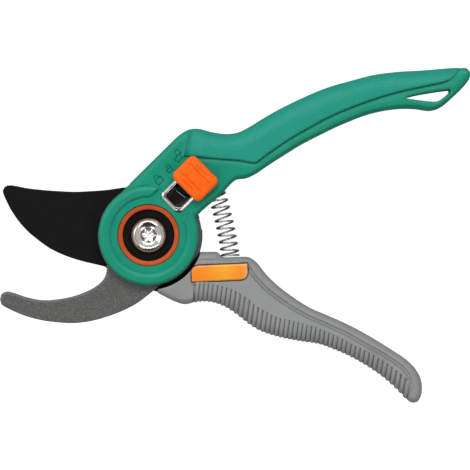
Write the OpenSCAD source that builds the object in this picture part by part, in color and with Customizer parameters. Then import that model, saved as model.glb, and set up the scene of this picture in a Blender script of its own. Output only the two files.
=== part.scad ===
// Bypass pruning shears, lying on their back with the jaws open.
// Origin: pivot axis, on the plane the shears lie on. +X towards the handles, +Z out of the front face.

/* [Overall] */
// Distance along X from the pivot to the tail of the upper handle
handle_reach = 138; // [120:1:170]
// Distance along X from the pivot to the tip of the hook
jaw_reach = 63.8; // [55:0.1:80]

/* [Plates] */
// Thickness of the cutting blade
blade_t = 3.2; // [2.5:0.1:5]
// Thickness of the hook (the counter blade)
hook_t = 4; // [3:0.1:6]
// Thickness of the lower handle's disc behind the blade
back_disc_t = 4.25; // [4:0.05:6]
// Thickness of the upper handle's disc in front of the hook
cover_t = 3.8; // [3.4:0.1:6]
// Radius of the blade's round heel
heel_r = 23; // [22.8:0.1:23.4]
// Width of the bevel that is ground on the back of the cutting edge
bevel_w = 3; // [1:0.1:4]

/* [Pivot] */
// Diameter of the bolt's smooth shoulder
shoulder_d = 8; // [6.6:0.1:9.6]
// Diameter of the bolt's threaded end
thread_d = 6; // [4:0.1:6.2]
// Diameter of the bolt's head
bolt_head_d = 14.7; // [12:0.1:18]
// Height of the bolt's head
bolt_head_h = 3; // [2:0.1:4]
// Width across the flats of the nut
nut_af = 10; // [9:0.1:12]
// Outer diameter of the front washer
washer_d = 22; // [20:0.1:24]
// Thickness of the front washer
washer_t = 1.4; // [1:0.1:2]
// Wall of the bush in the blade
bush_wall = 1.5; // [1:0.1:2]
// Width of the coloured ring round the front washer
ring_w = 2.2; // [1.5:0.1:2.6]
// Running clearance between a shaft and its hole, on the radius
run_gap = 0.05; // [0.02:0.01:0.1]

/* [Lock] */
// Length of the lock button along its travel
button_l = 13.5; // [10:0.1:14]
// Width of the lock button across its travel
button_w = 16.6; // [12:0.1:17]
// Thickness of the lock button
button_t = 3.6; // [2:0.1:5]
// How far the lock button travels
lock_travel = 11.5; // [10.5:0.1:11.5]
// Diameter of the lock pin
pin_d = 4.6; // [3.8:0.1:5.4]
// Clearance of the pin in its slots, on the radius
slot_gap = 0.2; // [0.1:0.05:0.3]
// Width of the window that the button slides over
window_w = 8.5; // [8:0.1:9]
// Width of the bright frame round the window
bezel_w = 1.25; // [0.8:0.05:1.4]

/* [Spring] */
// Mean diameter of the spring's coil
coil_d = 7.2; // [6:0.1:7.4]
// Diameter of the spring's wire
wire_d = 0.8; // [0.6:0.05:1]
// Turns of wire in the spring
coil_turns = 11; // [8:0.5:12]

/* [Handles] */
// How far the soft grips stand out over the hard cores
grip_rise = 1; // [0.4:0.1:1.5]
// Pitch of the ribs on the lower grip
rib_pitch = 2; // [1.8:0.1:3]
// Depth of the grooves between the ribs
rib_depth = 0.7; // [0.3:0.1:1]
// Thickness of the soft grip over the core's inner tongue
skin_t = 3; // [2:0.1:3.5]

/* [Hidden] */
$fn = 64;
far = 400;

// Heights of the stack, from the back to the front
plate_gap = 0.1;
blade_z = back_disc_t + run_gap;
blade_top = blade_z + blade_t;
hook_z = blade_top + plate_gap;
hook_top = hook_z + hook_t;
channel_z = hook_top + cover_t;
core_top = channel_z + 0.6;
grip_top = core_top + grip_rise;
band_top = channel_z + 1.1;

// Radii about the pivot
ring_r = washer_d / 2 + ring_w;
seat_gap = 0.05;
disc_r = 21.4;
hook_disc_r = 21.8;
back_disc_r = heel_r - 0.6;
sweep_r = heel_r + 0.5;
bush_r = shoulder_d / 2 + run_gap + bush_wall;
nut_bore = thread_d / 2 + seat_gap;
nut_corner_r = nut_af / 2 / cos(30);
rear_washer_r = max(nut_corner_r + 0.4, bush_r + 0.6);
nut_recess_r = rear_washer_r + 0.4;
nut_z = 0.6;
rear_washer_t = 0.5;

// The lock slides on a line at this angle, beside the pivot
slide_angle = 45;
slide_side = 2.9;
pin_locked = 19.2;
pin_rest = pin_locked + lock_travel;
button_mid = pin_rest + 0.6;
window_start = pin_locked - pin_d / 2 - 0.1;
window_end = pin_rest + 5.9;
closing_angle = 40;
bezel_top = core_top + 0.4;
button_gap = 0.2;
button_z = bezel_top + button_gap;

// The spring bends on a wide arc about its own centre, between these angles
spring_centre = [-110.9, -27];
spring_arc_r = 147;
spring_low = 6.85;
spring_high = 19.7;
spring_open = 12.5;
spring_z = (blade_z + hook_top) / 2 + 0.55;
pocket_r = (coil_d + wire_d) / 2 + 0.5;
peg_r = (coil_d - wire_d) / 2 - 0.6;
peg_h = 0.6;

// A handle's points beyond its neck stretch with the handle, and a jaw's points with the jaw
neck_x = 45;
function along_handle(p) =
  [for (q = p) [q[0] <= neck_x ? q[0] : neck_x + (q[0] - neck_x) * (handle_reach - neck_x) / 93, q[1]]];
function along_jaw(p) =
  [for (q = p) [q[0] >= -18 ? q[0] : -18 + (q[0] + 18) * (jaw_reach - 18) / 45.8, q[1]]];

// Smooth curve through points: centripetal Catmull-Rom, with some steps in each span
function knot(a, b) = sqrt(norm(b - a));
function mix(a, b, ta, tb, t) = ((tb - t) * a + (t - ta) * b) / (tb - ta);
function curve_point(p0, p1, p2, p3, u) =
  let (t1 = knot(p0, p1),
       t2 = t1 + knot(p1, p2),
       t3 = t2 + knot(p2, p3),
       t = t1 + u * (t2 - t1),
       a1 = mix(p0, p1, 0, t1, t),
       a2 = mix(p1, p2, t1, t2, t),
       a3 = mix(p2, p3, t2, t3, t),
       b1 = mix(a1, a2, 0, t2, t),
       b2 = mix(a2, a3, t1, t3, t))
  mix(b1, b2, t1, t2, t);
function padded(p) =
  let (n = len(p) - 1)
  concat([2 * p[0] - p[1]], p, [2 * p[n] - p[n - 1]]);
function curve(p, steps = 4) =
  let (q = padded(p))
  concat([for (i = [0:len(p) - 2], k = [0:steps - 1])
            curve_point(q[i], q[i + 1], q[i + 2], q[i + 3], k / steps)],
         [p[len(p) - 1]]);
function joined(a, b) = concat(a, [for (i = [1:len(b) - 1]) b[i]]);
function arc(r, a0, a1, steps, c = [0, 0]) =
  [for (k = [0:steps]) c + r * [cos(a0 + (a1 - a0) * k / steps), sin(a0 + (a1 - a0) * k / steps)]];

function on_heel(a) = heel_r * [cos(a), sin(a)];

// Outline moved inwards by a distance, for points that run anticlockwise
function unit(v) = v / norm(v);
function left(v) = [-v[1], v[0]];
function corner(p, i) =
  let (n = len(p),
       a = left(unit(p[i] - p[(i + n - 1) % n])),
       b = left(unit(p[(i + 1) % n] - p[i])))
  unit(a + b) / max(unit(a + b) * a, 0.6);
function inset(p, d) = [for (i = [0:len(p) - 1]) p[i] + corner(p, i) * d];

// Flat solid of an outline between two heights
module slab(p, z0, z1) {
  translate([0, 0, z0])
    linear_extrude(height = z1 - z0)
      polygon(p);
}

// Flat solid whose edge is ground back on one face, by a width given for each point
module ground_slab(p, widths, z_ground, z_edge, z_flat) {
  n = len(p);
  low = [for (i = [0:n - 1]) let (q = p[i] + corner(p, i) * widths[i]) [q[0], q[1], z_ground]];
  mid = [for (q = p) [q[0], q[1], z_edge]];
  top = [for (q = p) [q[0], q[1], z_flat]];
  sides = [for (r = [0:1], i = [0:n - 1], h = [0:1])
             let (a = r * n + i, b = r * n + (i + 1) % n)
             h == 0 ? [a, a + n, b] : [b, a + n, b + n]];
  caps = [[for (i = [0:n - 1]) i], [for (i = [0:n - 1]) 3 * n - 1 - i]];
  polyhedron(concat(low, mid, top), concat(sides, caps));
}

// Disc or tube about the pivot
module disc(r, z0, z1) {
  translate([0, 0, z0])
    cylinder(r = r, h = z1 - z0);
}

module tube(r_out, r_in, z0, z1) {
  difference() {
    disc(r_out, z0, z1);
    disc(r_in, z0 - 1, z1 + 1);
  }
}

// Places a piece on the lock's line, at a distance along it
module on_slide(s) {
  rotate([0, 0, slide_angle])
    translate([s, slide_side, 0])
      children();
}

// Round-ended slot along the lock's line
module slide_slot(s0, s1, r, z0, z1) {
  on_slide(0) {
    translate([s0, 0, z0])
      cylinder(r = r, h = z1 - z0);
    translate([s0, -r, z0])
      cube([s1 - s0, 2 * r, z1 - z0]);
    translate([s1, 0, z0])
      cylinder(r = r, h = z1 - z0);
  }
}

// Block with round corners along the lock's line, from one distance to another
module slide_block(s0, s1, w, r, z0, z1) {
  on_slide(0)
    translate([0, 0, z0])
      linear_extrude(height = z1 - z0)
        union() {
          translate([s0 + r, -w / 2])
            square([s1 - s0 - 2 * r, w]);
          translate([s0, -w / 2 + r])
            square([s1 - s0, w - 2 * r]);
          for (x = [s0 + r, s1 - r], y = [r - w / 2, w / 2 - r])
            translate([x, y])
              circle(r = r);
        }
}

// Piece of a round bar on the spring's own arc
module spring_bar(r, a0, a1) {
  translate([spring_centre[0], spring_centre[1], spring_z])
    rotate([0, 0, a0])
      rotate_extrude(angle = a1 - a0)
        translate([spring_arc_r, 0])
          circle(r = r);
}

// Slot through a plate for the spring, between two angles
module spring_slot(r, a0, a1, z0, z1) {
  slab(concat(arc(spring_arc_r + r, a0, a1, 4, spring_centre),
              arc(spring_arc_r - r, a1, a0, 4, spring_centre)), z0, z1);
}

// Low peg that the end of the spring sits on
module spring_peg(a, turn) {
  translate(spring_centre)
    rotate([0, 0, a])
      translate([spring_arc_r, 0, spring_z])
        rotate([turn, 0, 0])
          translate([0, 0, -0.3])
            cylinder(r = peg_r, h = peg_h + 0.3);
}

// ---- Outlines, anticlockwise ----
neck_edge = [[20, 7.5], [24.7, 12.2], [28.1, 14.9], [31.6, 18], [34.5, 21.3], [37.5, 23.8], [41.5, 24.4],
             [45.3, 26], [52.2, 30.6], [59.1, 35], [66, 39.2], [72.8, 42.7], [79.7, 46.1], [86.6, 49.1],
             [93.5, 51.7], [100.4, 53.4], [107.2, 54.3], [114.1, 54.3], [121, 53.5], [125.2, 54.8],
             [129.6, 58.4], [134.2, 62.8], [137.2, 66.6], [138, 69.4], [136.3, 71.7]];
back_edge = [[136.3, 71.7], [132, 71.9], [117.6, 70.8], [107.2, 70.2], [96.9, 68.9], [86.6, 66.3],
             [76.3, 63.3], [66, 59], [55.6, 53.9], [48.8, 50], [43.6, 46.8], [38.4, 44.2], [33.3, 43.5],
             [27, 44.3], [21.5, 45.7], [17.5, 45.4], [14, 43.6], [10.9, 41]];
upper_outline = concat(joined(curve(along_handle(neck_edge)), curve(along_handle(back_edge))),
                       [[-15, 15.1], [0, 0]]);
groove_line = [[15.2, 33.6], [21, 33.5], [30, 32.7], [39.3, 31.9], [45.3, 30.7], [50, 34], [60.1, 41],
               [68.9, 46.1], [77.1, 50.5], [86.6, 54.6], [96.1, 58.1], [105.5, 60.9], [115, 63.1],
               [121.3, 64.4], [127.6, 66], [131.5, 68.6]];
upper_grip_zone = concat(along_handle(groove_line), along_handle([[134.4, 73], [134, 90]]),
                         [[18, 90], [17.7, 46]]);
upper_tang = [[19.6, 12], [32, 24], [42, 30.5], [58, 41.5], [60, 44], [57, 47.5], [34, 39.8], [18, 40.8],
              [-2, 21.9]];
lanyard_hole = along_handle([[111, 58.2], [122, 57.3], [123.6, 57.6], [128.2, 61], [128, 62],
                             [126.6, 61.9]]);

lower_edge = [[4, -24.8], [10.9, -28.3], [15.5, -29.6], [21.2, -28.4], [26, -28.4], [31.6, -30],
              [36.5, -32.8], [41.9, -37], [47, -40.4], [53, -42.7], [60, -44.4], [67, -45.6], [73, -46.5],
              [80, -49], [86.6, -51.9], [93.5, -55.8], [100.4, -60.5], [107.2, -66.5], [109.9, -69.4],
              [112.3, -71.6], [115, -71.5], [116.7, -69], [117.2, -65], [116.4, -60.8], [114.1, -56.8]];
upper_edge = [[114.1, -56.8], [110.7, -53.5], [103.8, -48.9], [96.9, -44.6], [90, -40.7], [83.2, -37.3],
              [76.3, -34.3], [69.4, -31.3], [62.5, -27], [55.6, -21.8], [50.5, -16.9], [46.3, -11.7],
              [43, -9.5], [38, -9.3], [31.6, -9.3]];
stop_block = [[29.6, -7.5], [28.8, -7.2], [22.6, -7.2], [19.6, -7.2]];
lower_outline = concat(joined(curve(along_handle(lower_edge)), curve(along_handle(upper_edge))),
                       stop_block, [[4, -20.4]]);
lower_grip_zone = concat([[19.2, -90]],
                         along_handle([[110.8, -90], [111.2, -69.2], [112.4, -67], [112.8, -64.5],
                                       [112.1, -61], [110, -57.4], [105, -53.3], [100, -50.1], [90, -44.7],
                                       [80, -39.5], [70, -35.1], [65, -32.5], [60, -29.5], [55, -26],
                                       [50, -22]]),
                         [[47.5, -19.3], [45, -16.3], [43.4, -13.7], [41, -15.4], [19.2, -17.2]]);
lower_tang = [[3.2, -24.2], [12, -26.3], [22, -25.5], [38, -30], [56, -39], [60, -35],
              [46, -22], [34, -14.5], [24, -11]];

blade_back = [[-11.4, 20.5], [-18.3, 19.5], [-25, 19], [-32, 18.7], [-39, 19], [-45.8, 19.5],
              [-52.7, 20.3], [-59.4, 21.5], [-61.6, 21.1], [-62.9, 19.2], [-62.4, 17]];
blade_front = [[-62.4, 17], [-59.6, 11.3], [-56.2, 6.2], [-52.7, 2.2], [-49.3, -0.8], [-42.4, -5.8],
               [-35.5, -9], [-28.6, -11.2], [-21.8, -12.8], [-18.9, -13.5]];
hook_inner = [[-18, -13.6], [-18.2, -16], [-19.2, -18.6], [-21.8, -21.3], [-25.2, -23.4],
              [-32.1, -26.1], [-39, -27.5], [-45.8, -27.9], [-52.7, -26.6], [-58, -24.8], [-61.2, -24.2],
              [-63.2, -25.4], [-63.8, -27.6]];
hook_outer = [[-63.8, -27.6], [-63, -29.8], [-59.6, -31.8], [-52.7, -34.7], [-45.8, -36.5], [-39, -37.4],
              [-32.1, -37.7], [-25.2, -36.9], [-18.3, -35.1], [-11.4, -32.5], [-4.6, -28.9], [2.7, -23.3]];

// The cores' inner tongues stop short of the handles' tails
tongue_end = along_handle([[104, 0]])[0][0];

// ---- Shared solids ----
// The upper handle's full outside: a deep handle with a ledge beside the lower handle's disc, and a
// thin disc in front of the hook
module upper_body(top) {
  difference() {
    slab(upper_outline, 0, top);
    disc(back_disc_r + 0.2, -1, hook_top);
    disc(sweep_r + 0.1, back_disc_t - 0.15, hook_top);
    slab(lanyard_hole, -1, top + 1);
    spring_bar(pocket_r, spring_open, spring_high);
  }
}

// The hard tongue inside the soft grip
module upper_tongue() {
  intersection() {
    slab(inset(upper_outline, skin_t), skin_t, core_top - skin_t);
    slab(upper_grip_zone, 0, core_top);
    cube([tongue_end, far, far]);
  }
}

module lower_body(top) {
  difference() {
    union() {
      slab(lower_outline, 0, top);
      disc(back_disc_r, 0, back_disc_t);
    }
    disc(sweep_r, blade_top, top + 1);
    disc(heel_r + seat_gap, back_disc_t, blade_top + 0.1);
    disc(nut_recess_r, -1, back_disc_t + 1);
  }
}

// Pockets that the plates' tangs fill
module upper_tang_pocket() {
  slab(inset(concat(upper_tang, [[0, 0]]), -seat_gap), hook_z - seat_gap, hook_top);
}

module lower_tang_pocket() {
  slab(inset(concat([on_heel(-98)], lower_tang, [on_heel(-20)], [[0, 0]]), -seat_gap),
       blade_z - seat_gap, blade_top + seat_gap);
}

module lower_tongue() {
  intersection() {
    slab(inset(lower_outline, skin_t), skin_t, core_top - skin_t);
    slab(lower_grip_zone, 0, core_top);
    translate([0, -far, 0])
      cube([tongue_end, far, far]);
  }
}

// A countersunk screw put in from the back, and the hole for it
screw_r = 2;
screw_head_r = 3.7;
screw_head_h = 2.2;
upper_screws = [[9.2, 26.2], [29, 27.6]];
lower_screws = [[15, -23.3], [27, -14.8]];

module screw_shape(gap, tip_z) {
  cylinder(r1 = screw_head_r + gap, r2 = screw_r + gap, h = screw_head_h);
  cylinder(r = screw_r + gap, h = tip_z + gap);
}

module tang_screws(places, tip_z) {
  for (p = places)
    translate([p[0], p[1], 0.2])
      difference() {
        screw_shape(0, tip_z);
        translate([0, 0, -1])
          cylinder(r = 1.6, h = 2.4, $fn = 6);
      }
}

module screw_holes(places, tip_z) {
  for (p = places)
    translate([p[0], p[1], 0.2]) {
      screw_shape(seat_gap, tip_z);
      translate([0, 0, -1])
        cylinder(r = screw_head_r + seat_gap, h = 1);
    }
}

// ---- Upper handle, which carries the hook, the pivot bolt and the lock ----
module hook_blade() {
  jaw = joined(curve(along_jaw(hook_inner), 3), curve(along_jaw(hook_outer), 3));
  color([0.38, 0.38, 0.37])
    difference() {
      union() {
        slab(concat(jaw, [[4.9, -21.3]], [[0, 0]]), hook_z, hook_top);
        disc(hook_disc_r, hook_z, hook_top);
        slab(concat(upper_tang, [[0, 0]]), hook_z, hook_top);
      }
      disc(shoulder_d / 2 + run_gap, hook_z - 1, hook_top + 1);
      slide_slot(pin_locked, pin_rest + 0.3, pin_d / 2 + slot_gap, hook_z - 1, hook_top + 1);
      spring_slot(pocket_r + 0.3, spring_open, spring_high + 0.17, hook_z - 1, hook_top + 1);
      for (p = upper_screws)
        translate([p[0], p[1], hook_z - 1])
          cylinder(r = screw_r + seat_gap, h = hook_t + 2);
    }
}

module upper_handle_core() {
  color([0.16, 0.61, 0.53]) {
    difference() {
      union() {
        difference() {
          upper_body(core_top);
          slab(upper_grip_zone, -1, far);
          disc(disc_r + 0.4, channel_z, far);
        }
        disc(disc_r, hook_top, channel_z);
        upper_tongue();
        intersection() {
          translate([0, 0, band_top - 3.4])
            rotate([0, 0, 112])
              rotate_extrude(angle = 270)
                translate([disc_r - 2.55, 0])
                  circle(r = 3.4);
          disc(disc_r, channel_z - 0.1, far);
        }
        intersection() {
          slab(upper_outline, channel_z - 0.1, core_top);
          rotate([0, 0, slide_angle])
            translate([ring_r + 2.4, -far / 2, 0])
              cube([disc_r - ring_r, far, far]);
        }
      }
      disc(ring_r + seat_gap, hook_top - 1, far);
      upper_tang_pocket();
      slide_slot(pin_locked, pin_rest + 0.3, pin_d / 2 + slot_gap, blade_z, hook_top);
      slide_block(window_start, window_end, window_w, 2, hook_top - 1, far);
      slide_block(window_start - bezel_w - seat_gap, window_end + bezel_w + seat_gap,
                  window_w + 2 * (bezel_w + seat_gap), 2.6, core_top - 2.7, far);
      spring_bar(pocket_r, spring_open, spring_high);
      screw_holes(upper_screws, hook_top - 0.6);
      on_slide(0)
        translate([window_start, window_w / 2 - 0.3, hook_top - 0.01])
          cube([19.4, 3.4, 0.5]);
    }
    spring_peg(spring_high, 90);
  }
}

module upper_handle_grip() {
  color([0.15, 0.58, 0.5])
    difference() {
      intersection() {
        upper_body(grip_top);
        slab(upper_grip_zone, -1, far);
      }
      slide_block(button_mid - button_l / 2 - button_gap, button_mid + button_l / 2 + button_gap,
                  button_w + 2 * button_gap, 2.5, button_z - button_gap, far);
      upper_tongue();
      upper_tang_pocket();
    }
}

module slider_bezel() {
  color("silver")
    difference() {
      slide_block(window_start - bezel_w, window_end + bezel_w, window_w + 2 * bezel_w, 2.55,
                  core_top - 2.65, bezel_top);
      slide_block(window_start, window_end, window_w, 2, hook_top, far);
    }
}

module pivot_ring() {
  color([0.77, 0.31, 0.15])
    tube(ring_r, washer_d / 2 + seat_gap, hook_top + seat_gap, channel_z - 0.6);
}

module front_washer() {
  color([0.08, 0.08, 0.08])
    tube(washer_d / 2, shoulder_d / 2 + run_gap, hook_top, hook_top + washer_t);
}

module pivot_bolt() {
  head_z = hook_top + washer_t;
  head_r = bolt_head_d / 2;
  color("silver")
    difference() {
      union() {
        disc(thread_d / 2, 0, blade_z);
        disc(shoulder_d / 2, blade_z - run_gap, head_z + 0.5);
        rotate_extrude()
          polygon([[0, head_z], [head_r, head_z], [head_r, head_z + bolt_head_h - 1.1],
                   [head_r - 0.9, head_z + bolt_head_h - 0.2], [head_r - 1.7, head_z + bolt_head_h],
                   [head_r - 4, head_z + bolt_head_h - 1.3], [0, head_z + bolt_head_h - 1.3]]);
      }
      disc(2, head_z + 0.6, far);
      for (i = [0:5])
        rotate([0, 0, 60 * i])
          translate([2.1, 0, head_z + 0.6])
            cylinder(r = 0.65, h = bolt_head_h);
    }
}

module pivot_nut() {
  color("silver")
    difference() {
      disc_h = blade_z - run_gap - rear_washer_t - nut_z;
      translate([0, 0, nut_z])
        cylinder(r = nut_corner_r, h = disc_h, $fn = 6);
      disc(nut_bore, nut_z - 1, blade_z);
    }
}

module rear_washer() {
  color("silver")
    tube(rear_washer_r, nut_bore, blade_z - run_gap - rear_washer_t, blade_z - run_gap);
}

module detent_spring() {
  color("silver")
    on_slide(0)
      translate([window_start + 0.2, window_w / 2 - 0.1, hook_top + 0.02])
        cube([19, 3, 0.4]);
}

module upper_tang_screws() {
  color("silver")
    tang_screws(upper_screws, hook_top - 0.6);
}

// ---- Lower handle, which carries the cutting blade ----
module cutting_blade() {
  back = curve(along_jaw(blade_back), 3);
  front = curve(along_jaw(blade_front), 3);
  plate = concat(joined(back, front), arc(heel_r, 219, 262, 9), lower_tang, arc(heel_r, -20, 117, 28));
  last = len(back) + len(front) - 1;
  bevel = [for (i = [0:len(plate) - 1])
             bevel_w * max(0, min(1, (i - len(back) + 1) / 6, (last - i) / 3))];
  color([0.1, 0.1, 0.1])
    difference() {
      ground_slab(plate, bevel, blade_z, blade_top - 0.4, blade_top);
      disc(bush_r, blade_z - 1, blade_top + 1);
      for (a = [0, -closing_angle])
        rotate([0, 0, a])
          slide_slot(pin_locked - 0.1, pin_rest, pin_d / 2 + slot_gap, blade_z - 1, blade_top + 1);
      for (p = lower_screws)
        translate([p[0], p[1], blade_z - 1])
          cylinder(r = screw_r + seat_gap, h = blade_t + 2);
    }
}

module blade_bush() {
  color("goldenrod")
    tube(bush_r - 0.01, shoulder_d / 2 + run_gap, blade_z + 0.02, blade_top);
}

module lower_handle_core() {
  color([0.56, 0.57, 0.565]) {
    difference() {
      union() {
        difference() {
          lower_body(core_top);
          slab(lower_grip_zone, -1, far);
        }
        lower_tongue();
      }
      lower_tang_pocket();
      spring_slot(pocket_r, spring_low, spring_low + 2.5, spring_z - pocket_r, spring_z + pocket_r);
      badge_block(seat_gap, core_top - 0.6, far);
      screw_holes(lower_screws, blade_top + 2);
    }
    spring_peg(spring_low, -90);
  }
}

// Grooves between the ribs, across the front, the edge and the back of the lower grip
rib_first = 20.2;
rib_last = neck_x + (109.5 - neck_x) * (handle_reach - neck_x) / 93;
rib_top = along_handle([[20, -21.2], [30, -21.7], [38, -24.5], [45.4, -29.7], [53, -34.2], [64.7, -37.5],
                        [72.5, -39.9], [84, -45.1], [94.9, -50.6], [106.3, -58.1], [111.6, -64]]);
rib_foot = along_handle(concat([[15.5, -29.6]], [for (i = [3:18]) lower_edge[i]], [[112.3, -71.6]]));

rib_lean = 0.12;

module rib_grooves() {
  groove_w = rib_pitch * 0.4;
  for (x = [rib_first:rib_pitch:rib_last])
    let (y0 = lookup(x, rib_foot), y1 = lookup(x, rib_top), rise = rib_lean * (y1 - y0))
      translate([x, 0, 0])
        difference() {
          slab([[-5 * rib_lean, y0 - 5], [groove_w - 5 * rib_lean, y0 - 5],
                [groove_w + rise, y1], [rise, y1]], -1, grip_top + 1);
          translate([-1, y0 + rib_depth, rib_depth])
            cube([rib_pitch + 4, far, grip_top - 2 * rib_depth]);
        }
}

module lower_handle_grip() {
  color([0.54, 0.55, 0.545])
    difference() {
      intersection() {
        lower_body(grip_top);
        slab(lower_grip_zone, -1, far);
      }
      lower_tongue();
      lower_tang_pocket();
      rib_grooves();
      badge_block(seat_gap, core_top - 0.6, far);
      screw_holes(lower_screws, blade_top + 2);
    }
}

// Name plate, left blank
badge_w = 24;
badge_h = 6.9;
module badge_block(gap, z0, z1) {
  translate([18.6, -20, z0])
    rotate([0, 0, 2.5])
      translate([-gap, -gap, 0])
        linear_extrude(height = z1 - z0)
          polygon(concat([[0, 0]],
                         arc(3.4, -90, 0, 6, [badge_w + 2 * gap - 3.4, 3.4]),
                         [[badge_w + 2 * gap, badge_h + 2 * gap]],
                         arc(3.4, 90, 180, 6, [3.4, badge_h + 2 * gap - 3.4])));
}

module badge_plate() {
  color([1, 0.6, 0.15])
    badge_block(0, core_top - 0.6, grip_top + 0.2);
}

module lower_tang_screws() {
  color("silver")
    tang_screws(lower_screws, blade_top + 2);
}

// Round wire swept along a coil whose axis is the spring's arc
module coil_spring() {
  sides = 8;
  per_turn = 14;
  rings = per_turn * coil_turns;
  a0 = spring_low + 0.18;
  a1 = spring_high - 0.18;
  function wire_at(k) =
    let (a = a0 + (a1 - a0) * k / rings,
         w = 360 * k / per_turn,
         r = spring_arc_r + coil_d / 2 * cos(w))
    [spring_centre[0] + r * cos(a), spring_centre[1] + r * sin(a), spring_z + coil_d / 2 * sin(w)];
  function ring_of(k) =
    let (c = wire_at(k),
         t = unit(wire_at(k + 0.5) - wire_at(k - 0.5)),
         a = a0 + (a1 - a0) * k / rings,
         axis = concat(spring_centre + spring_arc_r * [cos(a), sin(a)], [spring_z]),
         o = unit(c - axis),
         s = unit(cross(t, o)),
         n = cross(s, t))
    [for (j = [0:sides - 1]) c + wire_d / 2 * (cos(360 * j / sides) * n + sin(360 * j / sides) * s)];
  pts = [for (k = [0:rings]) each ring_of(k)];
  walls = [for (k = [0:rings - 1], j = [0:sides - 1], h = [0:1])
             let (a = k * sides + j, b = k * sides + (j + 1) % sides)
             h == 0 ? [a, b, b + sides] : [a, b + sides, a + sides]];
  ends = [[for (j = [sides - 1:-1:0]) j], [for (j = [0:sides - 1]) rings * sides + j]];
  color("silver")
    polyhedron(pts, [for (f = concat(walls, ends)) [for (i = [len(f) - 1:-1:0]) f[i]]]);
}

// ---- Lock: button, carriage and pin slide together ----
module lock_button() {
  half = button_l / 2;
  color([0.97, 0.4, 0.08])
    difference() {
      slide_block(button_mid - half, button_mid + half, button_w, 2.5, button_z, button_z + button_t);
      on_slide(button_mid)
        for (x = [-3.6, -1.9, 1.9, 3.6])
          translate([x - 0.3, -button_w * 0.32, button_z + button_t - 0.5])
            cube([0.6, button_w * 0.64, 1]);
    }
}

stem_r = pin_d / 4;
stem_top = button_z - 1.2;

module lock_carriage() {
  start = pin_rest - pin_d / 2;
  low_top = core_top - 2.5;
  color([0.15, 0.15, 0.15])
    difference() {
      union() {
        slide_block(start, pin_rest + 5.5, window_w - 1.5, 1.9, hook_top + 0.15, low_top);
        slide_block(start, pin_rest + 5.5, window_w - 0.3, 1.9, low_top, button_z);
      }
      on_slide(pin_rest)
        translate([0, 0, hook_top])
          cylinder(r = stem_r + 0.02, h = stem_top - hook_top + seat_gap);
    }
}

module lock_pin() {
  color("silver")
    on_slide(pin_rest) {
      translate([0, 0, blade_z + 0.2])
        cylinder(r = pin_d / 2, h = hook_top + 0.1 - blade_z - 0.2);
      translate([0, 0, hook_top])
        cylinder(r = stem_r, h = stem_top - hook_top);
    }
}

hook_blade();
upper_handle_core();
upper_handle_grip();
slider_bezel();
pivot_ring();
front_washer();
pivot_bolt();
pivot_nut();
rear_washer();
detent_spring();
upper_tang_screws();
cutting_blade();
blade_bush();
lower_handle_core();
lower_handle_grip();
badge_plate();
lower_tang_screws();
coil_spring();
lock_button();
lock_carriage();
lock_pin();
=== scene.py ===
# Bypass pruning shears, lying open on their back on a white table.
# Lengths in the outlines are millimetres in the frame's own axes, and become metres in each mesh.
import math

import bpy
import numpy as np
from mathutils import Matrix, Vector
from mathutils.geometry import delaunay_2d_cdt


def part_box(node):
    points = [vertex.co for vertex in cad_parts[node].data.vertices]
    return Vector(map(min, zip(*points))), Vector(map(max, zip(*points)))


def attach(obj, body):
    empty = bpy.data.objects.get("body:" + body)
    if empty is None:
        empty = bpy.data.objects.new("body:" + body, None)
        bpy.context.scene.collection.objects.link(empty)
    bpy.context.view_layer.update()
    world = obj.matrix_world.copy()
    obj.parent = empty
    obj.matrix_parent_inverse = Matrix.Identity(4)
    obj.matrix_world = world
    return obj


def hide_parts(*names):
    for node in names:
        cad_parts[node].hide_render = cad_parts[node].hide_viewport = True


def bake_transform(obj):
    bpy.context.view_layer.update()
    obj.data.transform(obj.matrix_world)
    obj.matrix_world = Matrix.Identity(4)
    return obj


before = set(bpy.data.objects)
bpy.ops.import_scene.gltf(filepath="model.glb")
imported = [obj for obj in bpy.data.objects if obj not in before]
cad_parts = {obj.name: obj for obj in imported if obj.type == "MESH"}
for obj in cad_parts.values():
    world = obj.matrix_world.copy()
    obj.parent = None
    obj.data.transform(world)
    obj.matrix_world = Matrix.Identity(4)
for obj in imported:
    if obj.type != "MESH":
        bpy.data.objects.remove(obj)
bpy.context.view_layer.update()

# ---- Table, light and camera ----
# White acrylic sheet over a lit box, so that little shadow lies round the shears. A large softbox stands
# beyond the green handle, with two small ones on the near side and a weak fill on the left. A dark card on
# the near side and a dim ceiling round the camera give the metal something to reflect.


class Field:
    """A value that varies over a surface: a shader node's output, whose operators add Math nodes."""

    def __init__(self, tree, socket=None):
        self.tree = tree
        self.socket = socket

    def node(self, kind, settings=None, inputs=None, out=0):
        made = self.tree.nodes.new(kind)
        for name, value in (settings or {}).items():
            if name == "stops":
                ramp = made.color_ramp
                while len(ramp.elements) < len(value):
                    ramp.elements.new(0.5)
                for element, (at, colour) in zip(ramp.elements, value):
                    element.position = at
                    element.color = (*colour, 1)
            else:
                setattr(made, name, value)
        for key, value in (inputs or {}).items():
            if isinstance(value, Field):
                self.tree.links.new(value.socket, made.inputs[key])
            else:
                made.inputs[key].default_value = value
        return Field(self.tree, made.outputs[out])

    def sum_of(self, operation, *values):
        return self.node("ShaderNodeMath", {"operation": operation}, dict(enumerate(values)))

    def __add__(self, other):
        return self.sum_of("ADD", self, other)

    def __radd__(self, other):
        return self.sum_of("ADD", other, self)

    def __sub__(self, other):
        return self.sum_of("SUBTRACT", self, other)

    def __rsub__(self, other):
        return self.sum_of("SUBTRACT", other, self)

    def __mul__(self, other):
        return self.sum_of("MULTIPLY", self, other)

    def __rmul__(self, other):
        return self.sum_of("MULTIPLY", other, self)


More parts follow.
